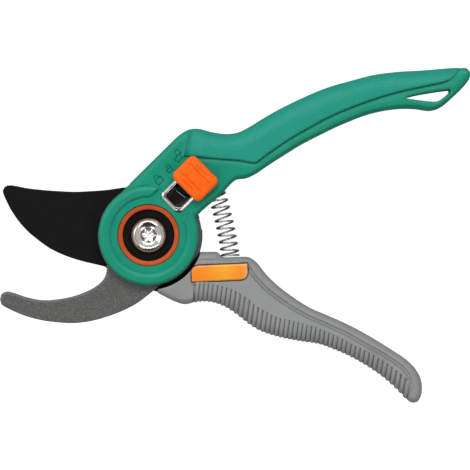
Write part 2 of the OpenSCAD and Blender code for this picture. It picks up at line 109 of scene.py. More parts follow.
class Finish:
    """A material: constants on its shader's own sockets, and fields on those that vary."""

    def __init__(self, name, **constants):
        self.material = bpy.data.materials.new(name)
        self.material.use_nodes = True
        self.tree = self.material.node_tree
        self.shader = self.tree.nodes["Principled BSDF"]
        self.place = Field(self.tree).node("ShaderNodeTexCoord", out="Object")
        for key, value in constants.items():
            self.shader.inputs[key.replace("_", " ")].default_value = value

    def noise(self, size, detail=3.0, roughness=0.6):
        """Cloudy pattern from 0 to 1 whose patches are about size metres wide."""
        return self.place.node(
            "ShaderNodeTexNoise", None,
            {"Vector": self.place, "Scale": 1 / size, "Detail": detail, "Roughness": roughness})

    def shade(self, field, stops):
        """Colour that follows a field through a ramp."""
        return field.node("ShaderNodeValToRGB", {"stops": stops}, {"Fac": field})

    def between(self, field, dark, light):
        """Colour that goes from dark to light over the middle of a field."""
        return self.shade(field, [(0.3, dark), (0.7, light)])

    def tint(self, amount, under, over, blend="MIX"):
        """Colour over laid on colour under by an amount."""
        return self.place.node(
            "ShaderNodeMix", {"data_type": "RGBA", "blend_type": blend},
            {0: amount, 6: under, 7: over}, out=2)

    def bump(self, height, distance, strength=1.0):
        return self.place.node(
            "ShaderNodeBump", None, {"Height": height, "Distance": distance, "Strength": strength})

    def put(self, **fields):
        for key, field in fields.items():
            self.tree.links.new(field.socket, self.shader.inputs[key.replace("_", " ")])
        return self


def plain_mesh(name, points, faces, finish, sharp=35):
    """Object at the origin from points in millimetres, smooth but for edges over an angle."""
    mesh = bpy.data.meshes.new(name)
    mesh.from_pydata((np.asarray(points, float) / 1000).tolist(), [], faces)
    mesh.polygons.foreach_set("use_smooth", [True] * len(mesh.polygons))
    mesh.set_sharp_from_angle(angle=math.radians(sharp))
    mesh.materials.append(finish.material)
    made = bpy.data.objects.new(name, mesh)
    bpy.context.scene.collection.objects.link(made)
    return made


table_white = Finish("table_white", Base_Color=(0.16, 0.16, 0.16, 1), Emission_Strength=1.0)
table_grain = table_white.noise(0.004)
seen = table_white.place.node("ShaderNodeLightPath", out="Is Camera Ray")
table_white.put(Roughness=0.65 + 0.1 * table_grain,
                Emission_Color=table_white.tint(seen, (0.06, 0.06, 0.06, 1), (1, 1, 1, 1)))
table_half = 1500
table = plain_mesh("table", [(-table_half, -table_half, 0), (table_half, -table_half, 0),
                             (table_half, table_half, 0), (-table_half, table_half, 0)],
                   [(0, 1, 2, 3)], table_white)


def soft_light(name, place, aim, size, power, colour=(1, 1, 1)):
    lamp = bpy.data.lights.new(name, "AREA")
    lamp.shape = "RECTANGLE"
    lamp.size, lamp.size_y = size
    lamp.energy = power
    lamp.color = colour
    made = bpy.data.objects.new(name, lamp)
    made.location = place
    made.rotation_euler = (Vector(aim) - Vector(place)).to_track_quat("-Z", "Y").to_euler()
    bpy.context.scene.collection.objects.link(made)


middle = Vector((0.0372, 0.0, 0.008))
soft_light("far_softbox", (0.0, 0.72, 0.85), middle, (1.1, 0.5), 7.0)
soft_light("near_left_softbox", (-0.36, -0.62, 0.8), middle, (0.3, 0.3), 1.6)
soft_light("near_right_softbox", (0.46, -0.6, 0.8), middle, (0.3, 0.3), 1.6)
soft_light("left_fill", (-0.8, 0.25, 0.5), middle, (0.4, 0.5), 1.6)

world = bpy.data.worlds.new("studio")
bpy.context.scene.world = world
world.use_nodes = True
sky = Field(world.node_tree)
seen = sky.node("ShaderNodeLightPath", out="Is Camera Ray")
look = sky.node("ShaderNodeTexCoord", out="Generated")
look_x, look_y, look_z = [
    sky.node("ShaderNodeSeparateXYZ", None, {"Vector": look}, out=axis) for axis in "XYZ"]
card = 0 - look_y - 0.65 * look_x.sum_of("ABSOLUTE", look_x) - 0.62 * look_z
walls = card.node("ShaderNodeValToRGB", {"stops": [
    (0.0, (0.56, 0.56, 0.55)), (0.02, (0.50, 0.50, 0.49)),
    (0.14, (0.02, 0.02, 0.02)), (1.0, (0.02, 0.02, 0.02))]}, {"Fac": card})
ceiling = look_z.node("ShaderNodeValToRGB", {"stops": [
    (0.0, (1, 1, 1)), (0.80, (1, 1, 1)),
    (0.95, (0.22, 0.22, 0.22)), (1.0, (0.22, 0.22, 0.22))]}, {"Fac": look_z})
room_light = sky.node("ShaderNodeMix", {"data_type": "RGBA", "blend_type": "MULTIPLY"},
                      {0: 1.0, 6: walls, 7: ceiling}, out=2)
backdrop = sky.node("ShaderNodeMix", {"data_type": "RGBA"}, {0: seen, 6: room_light, 7: (1, 1, 1, 1)}, out=2)
world.node_tree.links.new(backdrop.socket, world.node_tree.nodes["Background"].inputs["Color"])
bpy.context.scene.view_settings.view_transform = "Standard"

# The camera looks straight down at the front, from far enough away to be nearly free of perspective.
camera_height = 1.3
view_width = 0.2021
camera = bpy.data.objects.new("camera", bpy.data.cameras.new("camera"))
camera.location = (0.03701, 0.00009, camera_height)
camera.data.sensor_width = 36
camera.data.lens = 36 * (camera_height - middle.z) / view_width
bpy.context.scene.collection.objects.link(camera)
bpy.context.scene.camera = camera

# ---- Hook, the counter blade ----
# Stamped 4 mm carbon steel with a dark grey hammered stove enamel. Its inner edge is lightly
# chamfered, and its tang carries the lock pin's slot and is held inside the green handle.


def knot_step(a, b):
    return max(np.linalg.norm(b - a), 1e-9) ** 0.5


def curve(points, steps=8):
    """Smooth line through points: centripetal Catmull-Rom."""
    p = np.asarray(points, float)
    p = np.vstack([2 * p[0] - p[1], p, 2 * p[-1] - p[-2]])
    out = []
    for p0, p1, p2, p3 in zip(p, p[1:], p[2:], p[3:]):
        t1 = knot_step(p0, p1)
        t2 = t1 + knot_step(p1, p2)
        t3 = t2 + knot_step(p2, p3)
        for t in np.linspace(t1, t2, steps, endpoint=False):
            a1 = ((t1 - t) * p0 + t * p1) / t1
            a2 = ((t2 - t) * p1 + (t - t1) * p2) / (t2 - t1)
            a3 = ((t3 - t) * p2 + (t - t2) * p3) / (t3 - t2)
            b1 = ((t2 - t) * a1 + t * a2) / t2
            b2 = ((t3 - t) * a2 + (t - t1) * a3) / (t3 - t1)
            out.append(((t2 - t) * b1 + (t - t1) * b2) / (t2 - t1))
    return np.vstack([out, p[-2]])


def arc(radius, start, end, steps, centre=(0, 0)):
    a = np.radians(np.linspace(start, end, steps + 1))
    return np.asarray(centre) + radius * np.stack([np.cos(a), np.sin(a)], axis=1)


def distance(points, line):
    """Distance from each point to the nearest stretch of a line."""
    best = np.full(len(points), np.inf)
    for a, b in zip(line[:-1], line[1:]):
        ab = b - a
        t = np.clip((points - a) @ ab / max(ab @ ab, 1e-12), 0, 1)
        best = np.minimum(best, ((points - a - t[:, None] * ab) ** 2).sum(axis=1))
    return np.sqrt(best)


def ringed(loop):
    return np.vstack([loop, loop[:1]])


def inside(points, loops):
    odd = np.zeros(len(points), bool)
    x, y = points.T
    for loop in loops:
        for a, b in zip(loop, np.roll(loop, -1, axis=0)):
            if a[1] != b[1]:
                crosses = (a[1] > y) != (b[1] > y)
                odd ^= crosses & (x < a[0] + (y - a[1]) * (b[0] - a[0]) / (b[1] - a[1]))
    return odd


def evened(loop, step):
    """Closed outline with its long sides split."""
    out = []
    for a, b in zip(loop, np.roll(loop, -1, axis=0)):
        pieces = max(1, math.ceil(np.linalg.norm(b - a) / step - 1e-6))
        out += [a + (b - a) * k / pieces for k in range(pieces)]
    return np.array(out)


def anticlockwise(loop, wanted=True):
    x, y = loop.T
    area = np.sum(x * np.roll(y, -1) - np.roll(x, -1) * y)
    return loop if (area > 0) == wanted else loop[::-1]


RIM = (0.05, 0.15, 0.3, 0.5, 0.8, 1.2, 1.8, 2.5, 3.3, 4.2)


def relief(name, loops, front, back, finish, step=0.9, rim=RIM, extra=None, sharp=38):
    """Closed solid over a flat region. loops[0] is the outline and the others are holes; front and
    back give the height at each point; rim lists the distances from the edges at which rings of
    points follow them, and extra adds points of its own."""
    loops = [evened(anticlockwise(np.asarray(loop, float), i == 0), step * 0.7)
             for i, loop in enumerate(loops)]

    def edge(p):
        return np.min([distance(p, ringed(loop)) for loop in loops], axis=0)

    found = list(loops)
    for loop in loops:
        along = np.roll(loop, -1, axis=0) - np.roll(loop, 1, axis=0)
        inwards = np.stack([-along[:, 1], along[:, 0]], axis=1)
        inwards /= np.maximum(np.linalg.norm(inwards, axis=1), 1e-9)[:, None]
        for r in rim:
            p = loop + inwards * r
            p = p[inside(p, loops)]
            found.append(p[edge(p) > r * 0.96])
    if extra is not None:
        p = extra[inside(extra, loops)]
        found.append(p[edge(p) > rim[0]])
    low, high = loops[0].min(axis=0), loops[0].max(axis=0)
    gx, gy = np.meshgrid(np.arange(low[0], high[0], step), np.arange(low[1], high[1], step * 0.87))
    gx = gx + np.where(np.arange(len(gx)) % 2, step / 2, 0)[:, None]
    p = np.stack([gx.ravel(), gy.ravel()], axis=1)
    p = p[inside(p, loops)]
    p = p[edge(p) > rim[-1] + step * 0.45]
    if extra is not None and len(p):
        p = p[[np.min(((extra - q) ** 2).sum(axis=1)) > (step * 0.4) ** 2 for q in p]]
    found.append(p)
    sides, base = [], 0
    for loop in loops:
        sides += [(base + k, base + (k + 1) % len(loop)) for k in range(len(loop))]
        base += len(loop)
    flat, _, tris, *_ = delaunay_2d_cdt([Vector(q) for q in np.vstack(found)], sides, [], 0, 1e-6)
    flat = np.array([tuple(q) for q in flat])
    tris = np.array([t for t in tris if len(t) == 3])
    a, b, c = flat[tris[:, 0]], flat[tris[:, 1]], flat[tris[:, 2]]
    turn = (b[:, 0] - a[:, 0]) * (c[:, 1] - a[:, 1]) - (b[:, 1] - a[:, 1]) * (c[:, 0] - a[:, 0])
    tris[turn < 0] = tris[turn < 0][:, ::-1]
    tris = tris[inside((a + b + c) / 3, loops) & (np.abs(turn) > 1e-9)]
    n = len(flat)
    top = np.asarray(front(flat), float) * np.ones(n)
    bottom = np.asarray(back(flat), float) * np.ones(n)
    points = np.vstack([np.column_stack([flat, top]), np.column_stack([flat, bottom])])
    once = {}
    for t in tris.tolist():
        for i, j in ((t[0], t[1]), (t[1], t[2]), (t[2], t[0])):
            if (j, i) in once:
                del once[(j, i)]
            else:
                once[(i, j)] = True
    walls = [(n + i, n + j, j, i) for i, j in once]
    faces = tris.tolist() + (tris[:, ::-1] + n).tolist() + walls
    used = np.unique(np.concatenate([np.ravel(tris), np.ravel(tris) + n]))
    renumber = np.full(2 * n, -1)
    renumber[used] = np.arange(len(used))
    return plain_mesh(name, points[used], [[int(renumber[v]) for v in f] for f in faces], finish, sharp)


def fall(d, radius, depth=None):
    """How far a rounded edge has dropped at a distance from it: a quarter circle, or an ellipse."""
    t = np.clip(1 - np.asarray(d) / radius, 0, 1)
    return (radius if depth is None else depth) * (1 - np.sqrt(1 - t * t))


def heights(node):
    """A CAD node's lowest and highest level, in millimetres."""
    low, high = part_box(node)
    return low.z * 1000, high.z * 1000


def belongs(piece, body, slot, *nodes):
    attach(piece, body)
    if nodes:
        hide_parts(*nodes)


SLIDE = np.array([math.sqrt(0.5), math.sqrt(0.5)])
ACROSS = np.array([-math.sqrt(0.5), math.sqrt(0.5)])
SLIDE_SIDE = 2.9


def on_slide(points):
    """Places points given along and across the lock's line."""
    p = np.asarray(points, float)
    return p[:, :1] * SLIDE + (p[:, 1:2] + SLIDE_SIDE) * ACROSS


def round_box(x0, x1, width, radius, steps=6):
    """Rectangle with round corners along X, centred on Y = 0."""
    h = width / 2
    corners = [((x1 - radius, radius - h), -90), ((x1 - radius, h - radius), 0),
               ((x0 + radius, h - radius), 90), ((x0 + radius, radius - h), 180)]
    return np.vstack([arc(radius, a, a + 90, steps, c) for c, a in corners])


hook_inner = [[-18, -13.6], [-18.2, -16], [-19.2, -18.6], [-21.8, -21.3], [-25.2, -23.4], [-32.1, -26.1],
              [-39, -27.5], [-45.8, -27.9], [-52.7, -26.6], [-58, -24.8], [-61.2, -24.2], [-63.2, -25.4],
              [-63.8, -27.6]]
hook_outer = [[-63.8, -27.6], [-63, -29.8], [-59.6, -31.8], [-52.7, -34.7], [-45.8, -36.5], [-39, -37.4],
              [-32.1, -37.7], [-25.2, -36.9], [-18.3, -35.1], [-11.4, -32.5], [-4.6, -28.9], [2.7, -23.3]]
hook_tang = [[19.6, 12], [32, 24], [42, 30.5], [58, 41.5], [60, 44], [57, 47.5], [34, 39.8], [18, 40.8],
             [-2, 21.9]]
hook_disc_r, hook_side_r = 21.8, 22.75
pin_locked, pin_rest = 19.2, 30.7
slot_r = 2.5
hook_back, hook_front = heights("hook_blade")
inner_line = curve(hook_inner)
outer_line = curve(hook_outer)
hook_outline = np.vstack([inner_line, outer_line[1:], [[4.9, -21.3]], arc(hook_disc_r, -74, -32, 16),
                          arc(hook_side_r, -22, 27, 22), hook_tang, arc(hook_disc_r, 97, 215, 50)])
pin_slot = on_slide(round_box(pin_locked - slot_r, pin_rest + 0.3 + slot_r, 2 * slot_r, slot_r - 0.01, 10))
hook_bore = arc(4.1, 0, 350, 35)


def hook_top(p):
    chamfer = 0.5 * np.clip(1 - distance(p, inner_line[:-4]) / 0.8, 0, 1)
    return hook_front - chamfer - fall(distance(p, outer_line), 0.45)


hammered = Finish("hammered_enamel", Metallic=0.25, Coat_Weight=0.12, Coat_Roughness=0.3)
fleck = hammered.noise(0.00042, 2.0, 0.75)
cloud = hammered.noise(0.006)
# The tang's side of a line across the hook is painted near black: painted shade for where it shows deep in
# the lock's window.
tang_shade_field = hammered.place.node("ShaderNodeVectorMath", {"operation": "DOT_PRODUCT"},
                                {0: hammered.place, 1: (-0.2, 1.0, 0.0)}, out=1)
enamel = hammered.shade(fleck + 0.12 * cloud, [
    (0.30, (0.042, 0.042, 0.041)), (0.52, (0.088, 0.087, 0.085)), (0.68, (0.145, 0.143, 0.139)),
    (0.90, (0.27, 0.267, 0.26))])
painted_tang_shade = tang_shade_field.sum_of("GREATER_THAN", tang_shade_field, 0.007)
hammered.put(
    Base_Color=hammered.tint(painted_tang_shade, enamel, (0.030, 0.029, 0.028, 1)),
    Roughness=0.40 + 0.22 * fleck,
    Normal=hammered.bump(fleck, 0.00010, 0.5))
hook = relief("hook", [hook_outline, pin_slot, hook_bore], hook_top, lambda p: hook_back + fall(
    distance(p, inner_line), 0.3) + fall(distance(p, outer_line), 0.3), hammered, step=1.3,
    rim=(0.06, 0.15, 0.35, 0.7, 1.0, 1.6))
belongs(hook, "upper_handle", "hook_steel", "hook_blade")

# ---- Green handle's hard core ----
# Injection-moulded glass-filled nylon. A thin disc with a raised round band lies in front of the
# hook, the flat neck carries the lock's window, and the lower strip and tail run out to the lanyard hole.
neck_edge = [[20, 7.5], [24.7, 12.2], [28.1, 14.9], [31.6, 18], [34.5, 21.3], [37.5, 23.8], [41.5, 24.4],
             [45.3, 26], [52.2, 30.6], [59.1, 35], [66, 39.2], [72.8, 42.7], [79.7, 46.1], [86.6, 49.1],
             [93.5, 51.7], [100.4, 53.4], [107.2, 54.3], [114.1, 54.3], [121, 53.5], [125.2, 54.8],
             [129.6, 58.4], [134.2, 62.8], [137.2, 66.6], [138, 69.4], [136.3, 71.7]]
back_edge = [[136.3, 71.7], [132, 71.9], [117.6, 70.8], [107.2, 70.2], [96.9, 68.9], [86.6, 66.3],
             [76.3, 63.3], [66, 59], [55.6, 53.9], [48.8, 50], [43.6, 46.8], [38.4, 44.2], [33.3, 43.5],
             [27, 44.3], [21.5, 45.7], [17.5, 45.4], [14, 43.6], [10.9, 41]]
groove = [[15.2, 33.6], [21, 33.5], [30, 32.7], [39.3, 31.9], [43.4, 31.2], [45.6, 31.0], [47.6, 32.2],
          [50, 34], [60.1, 41], [68.9, 46.1], [77.1, 50.5], [86.6, 54.6], [96.1, 58.1], [105.5, 60.9],
          [115, 63.1], [121.3, 64.4], [127.6, 66], [131.2, 68.4], [133.6, 71.6]]
lanyard = [[110.6, 58.5], [121.6, 57.2], [123.8, 57.4], [129.0, 61.3], [129.1, 62.2], [127.6, 62.2],
           [111.0, 59.1]]
disc_r, band_mid, ring_seat_r, sweep_r = 21.4, 18.85, 13.25, 23.6
neck_line = curve(neck_edge)
crown_line = curve(back_edge)
groove_line = curve(groove)
lanyard_line = curve(lanyard + lanyard[:1])
neck_left = np.array([[10.9, 41], [-15, 15.1]])
upper_edge_line = np.vstack([neck_line, crown_line[1:], neck_left[1:]])
cover_back = hook_front
channel_z = cover_back + 3.7
band_rise = 1.35
core_corner = channel_z - cover_back
window_start, window_end, window_w, bezel_w = 16.8, 36.6, 8.5, 1.5
bezel_outer = round_box(window_start - bezel_w, window_end + bezel_w, window_w + 2 * bezel_w, 2.55)
window_hole = on_slide(round_box(window_start - bezel_w - 0.05, window_end + bezel_w + 0.05,
                                 window_w + 2 * bezel_w + 0.1, 2.6))
seat_hole = arc(ring_seat_r + 0.08, 0, 357, 119)
core_crown = crown_line[:int(8 * 0.62)]
core_outline = np.vstack([neck_line[:-1], core_crown, (groove_line - [0.03, 0.08])[::-1],
                          [[15.15, 33.5]], [[17.5, 45.35]], crown_line[8 * 15 + 2:], neck_left[1:],
                          arc(disc_r, 136, 378, 140)])
crease_line = np.array([[15.2, 33.6], [17.7, 45.3]])

# Generic padlock marks, sunk into the neck beside the button's three places.


def mark(place, size, lift, turn):
    """Lines of one padlock: its case, and its shackle lifted and turned to show it open."""
    case = np.array([[-1.2, 0], [1.2, 0], [1.2, 1.7], [-1.2, 1.7], [-1.2, 0]])
    bow = arc(0.85, 0, 180, 8, (0, 1.7 + lift))
    bow = np.vstack([[[0.85, 1.7 + lift * (turn == 0)]], bow, [[-0.85, 1.7]]]) + [turn, 0]
    return [np.asarray(place) + size * (part[:, :1] * SLIDE + part[:, 1:2] * ACROSS) for part in (case, bow)]


icon_lines = [np.vstack([ringed(evened(part, 0.3))[:-2]]) for part in (
    *mark((5.5, 22.4), 1.3, 0.5, 0), *mark((9.8, 27.2), 1.0, 0.5, 0.5), *mark((13.6, 32.0), 1.25, 0.8, 1.1))]
icon_spots = np.vstack([evened(line, 0.3) + [dx, dy] for line in icon_lines
                        for dx, dy in ((0, 0), (0.2, 0.2), (-0.2, -0.2), (0.2, -0.2), (-0.2, 0.2))])
channel_edges, channel_slope = (-5.7, 10.6), 0.9
lip_height, lip_place, lip_width = 0.3, 0.32, 0.24
mark_depth, mark_width = 0.5, 0.26

def core_front(p):
    x, y = p.T
    r = np.hypot(x, y)
    side = p @ ACROSS
    ahead = p @ SLIDE
    up = (np.clip((side - channel_edges[1]) / channel_slope, 0, 1)
          + np.clip((channel_edges[0] - side) / channel_slope, 0, 1))
    shown = np.where(ahead < 0, 1.0, np.clip(up, 0, 1)) * (r < disc_r + 0.4)
    swell = np.clip(1 - ((r - band_mid) / (disc_r - band_mid)) ** 2, 0, 1) ** 0.5
    outer = fall(disc_r - r, disc_r - band_mid, 1.9)
    band = np.where(r < band_mid, band_rise * swell, band_rise - outer)
    band = np.where((r > disc_r) | (r < 2 * band_mid - disc_r), 0, band)
    on_disc = np.clip((disc_r + 0.3 - r) / 0.3, 0, 1)
    handle = fall(distance(p, upper_edge_line), 2.5, core_corner) * (1 - on_disc * np.clip(shown, 0, 1))
    apart = distance(p, groove_line)
    ramp_w = np.interp(x, [18, 45, 62, 100], [2.1, 1.6, 2.2, 2.6])
    lip = lip_height * np.exp(-((distance(p, crease_line) - lip_place) / lip_width) ** 2)
    seam = 0.5 * np.clip(1 - apart / ramp_w, 0, 1) * (x > 17.0) - lip
    hole = fall(distance(p, lanyard_line), 1.1)
    rims = fall(distance(p, ringed(window_hole)), 0.22) + fall(np.abs(r - ring_seat_r), 0.25)
    marks = np.zeros(len(p))
    near = (x > 0) & (x < 19) & (y > 18) & (y < 38)
    if near.any():
        beside = np.min([distance(p[near], line) for line in icon_lines], axis=0)
        marks[near] = mark_depth * np.clip(1.25 - beside / mark_width, 0, 1)
    return channel_z + band * shown - handle - seam - hole - rims - marks


band_rings = np.vstack([arc(r, 0, 357.5, 143) for r in np.concatenate([
    np.linspace(13.9, 16.1, 4), 2 * band_mid - disc_r + np.array([0.05, 0.2, 0.45, 0.8, 1.3, 1.9]),
    [band_mid], disc_r - np.array([1.9, 1.3, 0.8, 0.45, 0.2, 0.05]), [disc_r + 0.15, disc_r + 0.35]])])
crease_rows = np.vstack([[SLIDE * s + ACROSS * w for s in np.arange(5, 24, 0.6)]
                         for w in (10.5, 10.8, 11.15, 11.55, -6.7, -6.3, -5.95, -5.6)])

green_nylon = Finish("green_nylon", Specular_IOR_Level=0.25)
green_cloud = green_nylon.noise(0.011)
green_skin = green_nylon.noise(0.00016, 2.0)
green_nylon.put(
    Base_Color=green_nylon.between(green_cloud, (0.0040, 0.252, 0.157), (0.0065, 0.282, 0.178)),
    Roughness=0.36 + 0.1 * green_skin,
    Normal=green_nylon.bump(green_skin, 0.00002, 0.5))
cover = relief("upper_handle_cover", [core_outline, seat_hole, window_hole, lanyard_line[:-1]],
               core_front, lambda p: cover_back, green_nylon, step=0.8,
               rim=(0.04, 0.14, 0.3, 0.54, 0.9, 1.4, 2.0, 2.8, 3.7),
               extra=np.vstack([band_rings, crease_rows, icon_spots]))
belongs(cover, "upper_handle", "green_nylon", "upper_handle_core")

# The deep part of the core, behind the level of the cover, with its pocket for the spring.
pocket_r, spring_arc_r, spring_low, spring_high = 4.5, 147.0, 6.85, 19.7
pocket_mouth, slot_floor, slot_ceiling = 12.5, 4.3, 14
spring_centre = np.array([-110.9, -27.0])
deep_outline = np.vstack([
    neck_line[6:-1], core_crown, (groove_line - [0.03, 0.08])[::-1], [[15.15, 33.5]], [[17.5, 45.35]],
    crown_line[8 * 15 + 2:], [[-8.2, 22.1]], arc(sweep_r, 109, 24.5, 40)])
spring_z = 8.5


def deep_back(p):
    hole = fall(distance(p, lanyard_line), 1.1)
    inner = fall(np.abs(np.hypot(*p.T) - sweep_r), 0.5)
    return fall(distance(p, upper_edge_line), 4.4) + inner + hole + fall(distance(p, groove_line), 0.45)


deep = relief("upper_handle_depth", [deep_outline, lanyard_line[:-1]],
              lambda p: cover_back, deep_back, green_nylon, step=1.6,
              rim=(0.05, 0.18, 0.4, 0.8, 1.4, 2.2, 3.2, 4.4))


def swept(name, path, radius, sides, finish):
    """Round bar along a line of points."""
    path = np.asarray(path, float)
    ahead = np.gradient(path, axis=0)
    ahead /= np.linalg.norm(ahead, axis=1)[:, None]
    up = np.cross(ahead, [0, 0, 1.0])
    up /= np.maximum(np.linalg.norm(up, axis=1), 1e-9)[:, None]
    other = np.cross(ahead, up)
    turn = np.linspace(0, 2 * np.pi, sides, endpoint=False)
    rings = [c + radius * (np.cos(turn)[:, None] * u + np.sin(turn)[:, None] * v)
             for c, u, v in zip(path, up, other)]
    faces = []
    for k in range(len(path) - 1):
        low, high = k * sides, (k + 1) * sides
        faces += [(low + j, low + (j + 1) % sides, high + (j + 1) % sides, high + j) for j in range(sides)]
    last = (len(path) - 1) * sides
    faces += [tuple(range(sides))[::-1], tuple(last + j for j in range(sides))]
    return plain_mesh(name, np.vstack(rings), faces, finish)


def cut(piece, tool):
    """Takes one closed solid out of another and throws the tool away."""
    carve = piece.modifiers.new("carve", "BOOLEAN")
    carve.object = tool
    carve.operation = "DIFFERENCE"
    carve.solver = "EXACT"
    bpy.context.view_layer.update()
    carved = bpy.data.meshes.new_from_object(piece.evaluated_get(bpy.context.evaluated_depsgraph_get()))
    piece.modifiers.clear()
    piece.data = carved
    bpy.data.objects.remove(tool)


pocket_path = np.column_stack([arc(spring_arc_r, spring_high, pocket_mouth, 30, spring_centre),
                               np.full(31, spring_z)])
cut(deep, swept("pocket_tool", pocket_path, pocket_r, 28, green_nylon))
cut(deep, relief("slot_tool", [pin_slot], lambda p: slot_ceiling, lambda p: slot_floor, green_nylon))
belongs(deep, "upper_handle", "green_nylon", "upper_handle_core")

# A low ledge on its inner side closes the lock's slot from behind, clear of the grey handle's disc.
back_disc_r, ledge_low, ledge_high = 22.4, 0.4, 4.05
ledge_outline = np.vstack([arc(back_disc_r + 0.06, 28, 106, 90), arc(sweep_r + 0.15, 106, 28, 60)])
ledge = relief("upper_handle_ledge", [ledge_outline], lambda p: ledge_high, lambda p: ledge_low,
               green_nylon, rim=(0.05, 0.2))
belongs(ledge, "upper_handle", "green_nylon", "upper_handle_core")

# ---- Green soft grip ----
# Thermoplastic rubber moulded over the back of the green handle, with a fine pebbled skin. It starts
# at a short slope beside the lock button and ends at a point on the tail.
grip_top_z = channel_z + 1.1
grip_corner = 7.0
grip_line = groove_line + [0, 0.03]
grip_outline = np.vstack([grip_line, crown_line[5:8 * 15 - 1], [[17.6, 45.4]]])


button_room = (38.4, 11.4)


def grip_drop(p):
    from_crown = distance(p, crown_line)
    from_crease = distance(p, crease_line)
    along = np.clip(from_crease / 5.0, 0, 1)
    corner = fall(from_crown, 2.5, core_corner) * (1 - along) + fall(from_crown, grip_corner) * along
    under_button = 0.9 * (np.clip((button_room[0] - p @ SLIDE) / 0.2, 0, 1)
                          * np.clip((button_room[1] - p @ ACROSS) / 0.2, 0, 1))
    dip = np.interp(from_crease, [0, 0.2, 1.5, 2.0, 6.5], [1.1, 1.1, 1.8, 1.8, 0])
    return np.maximum(corner + fall(distance(p, groove_line), 1.1, 0.8) + dip, under_button)


pebbled = Finish("green_soft_grip", Specular_IOR_Level=0.22)
pebble_cloud = pebbled.noise(0.012)
pebble = pebbled.place.node("ShaderNodeTexVoronoi", {"feature": "SMOOTH_F1"},
                            {"Vector": pebbled.place, "Scale": 1 / 0.0009, "Randomness": 0.35})
# The hollows between the pebbles are tinted darker: painted shade in the hollows.
pebbled.put(
    Base_Color=pebbled.tint(
        1.1 * pebble, pebbled.between(pebble_cloud, (0.009, 0.310, 0.218), (0.014, 0.340, 0.242)),
        (0.010, 0.235, 0.170, 1)),
    Roughness=0.44 + 0.14 * pebble,
    Normal=pebbled.bump(1 - pebble, 0.00025, 0.7))
upper_grip = relief("upper_soft_grip", [grip_outline], lambda p: grip_top_z - grip_drop(p), grip_drop,
                    pebbled, step=1.1,
                    rim=(0.05, 0.18, 0.4, 0.7, 1.1, 1.7, 2.5, 3.5, 5.0, 6.6))
belongs(upper_grip, "upper_handle", "green_grip", "upper_handle_grip")

# ---- Window bezel ----
# Pressed and bright-plated steel frame, snapped into the green handle round the lock's window.
bezel_low, bezel_high = heights("slider_bezel")
bright = Finish("bright_plate", Metallic=1.0)
smear = bright.noise(0.0025)
bright.put(Base_Color=bright.between(smear, (0.72, 0.71, 0.69), (0.80, 0.79, 0.77)),
           Roughness=0.14 + 0.06 * smear)
bezel_loops = [on_slide(bezel_outer), on_slide(round_box(window_start, window_end, window_w, 1.9))]
slope_depth, slope_width = 0.5, 0.8


def bezel_top(p):
    outer, inner = [distance(p, ringed(loop)) for loop in bezel_loops]
    return bezel_high - 0.05 - slope_depth * np.clip(1 - outer / slope_width, 0, 1) - fall(inner, 0.2)


bezel = relief("window_bezel", bezel_loops, bezel_top, lambda p: bezel_low, bright,
               step=0.5, rim=(0.03, 0.1, 0.2, 0.45, 0.6, 0.8))
belongs(bezel, "upper_handle", "plated_steel", "slider_bezel")

# ---- Washer, ring and bolt at the pivot ----
# The bolt is turned from steel and bright plated, with a dished head and a six-lobe socket. It
# clamps a black nylon washer, which sits inside a moulded orange ring.


def turned(name, rings, finish, sides=96, sharp=30):
    """Solid of revolution about the pivot, closed on its axis or into a tube. Each ring is a radius,
    or a function of the angle, and a height; the line runs from the bottom, up the outside."""
    turn = np.linspace(0, 2 * np.pi, sides, endpoint=False)
    points, faces = [], []
    for r, z in rings:
        r = (r(turn) if callable(r) else r) * np.ones(sides)
        points.append(np.column_stack([r * np.cos(turn), r * np.sin(turn), np.full(sides, z)]))
    rows = len(rings)
    closed = rings[0] == rings[-1]
    for k in range(rows - 1):
        low = k * sides
        high = 0 if closed and k == rows - 2 else (k + 1) * sides
        for j in range(sides):
            faces.append((low + j, low + (j + 1) % sides, high + (j + 1) % sides, high + j))
    points = np.vstack(points[:-1] if closed else points)
    if not closed:
        faces += [tuple(range(sides))[::-1], tuple((rows - 1) * sides + j for j in range(sides))]
    return plain_mesh(name, points, faces, finish, sharp)


washer_low, washer_high = heights("front_washer")
black_nylon = Finish("black_nylon", Specular_IOR_Level=0.14)
black_dust = black_nylon.noise(0.0011, 4.0)
black_nylon.put(Base_Color=black_nylon.shade(black_dust, [(0.3, (0.003, 0.003, 0.0035)),
                                                          (0.75, (0.007, 0.007, 0.0075))]),
                Roughness=0.3 + 0.16 * black_dust)
washer_bore, washer_r, washer_step_r = 4.1, 10.95, 8.1
washer = turned("front_washer_disc", [
    (washer_bore, washer_low), (washer_r, washer_low), (washer_r, washer_high - 0.2),
    (washer_r - 0.25, washer_high), (washer_step_r, washer_high), (washer_step_r - 0.2, washer_high - 0.25),
    (washer_bore, washer_high - 0.25), (washer_bore, washer_low)], black_nylon)
belongs(washer, "upper_handle", "black_plastic", "front_washer")

ring_low, ring_high = heights("pivot_ring")
ring_orange = Finish("ring_orange", Specular_IOR_Level=0.2)
ring_cloud = ring_orange.noise(0.003)
ring_orange.put(Base_Color=ring_orange.between(ring_cloud, (0.46, 0.070, 0.012), (0.53, 0.086, 0.016)),
                Roughness=0.34 + 0.12 * ring_cloud)
ring_in_r, ring_out_r = 11.05, 13.18
pivot_ring = turned("pivot_ring_piece", [
    (ring_in_r, ring_low), (ring_out_r, ring_low), (ring_out_r, ring_high - 0.25),
    (ring_out_r - 0.18, ring_high - 0.05), (ring_out_r - 0.43, ring_high),
    (ring_in_r + 0.45, ring_high - 0.3), (ring_in_r + 0.15, ring_high - 0.5),
    (ring_in_r, ring_high - 0.8), (ring_in_r, ring_low)], ring_orange)
belongs(pivot_ring, "upper_handle", "ring_plastic", "pivot_ring")

bolt_bottom, bolt_high = heights("pivot_bolt")
head_low = washer_high
head_r, shoulder_r, thread_r, step_z = 7.35, 4.0, 3.0, 4.25


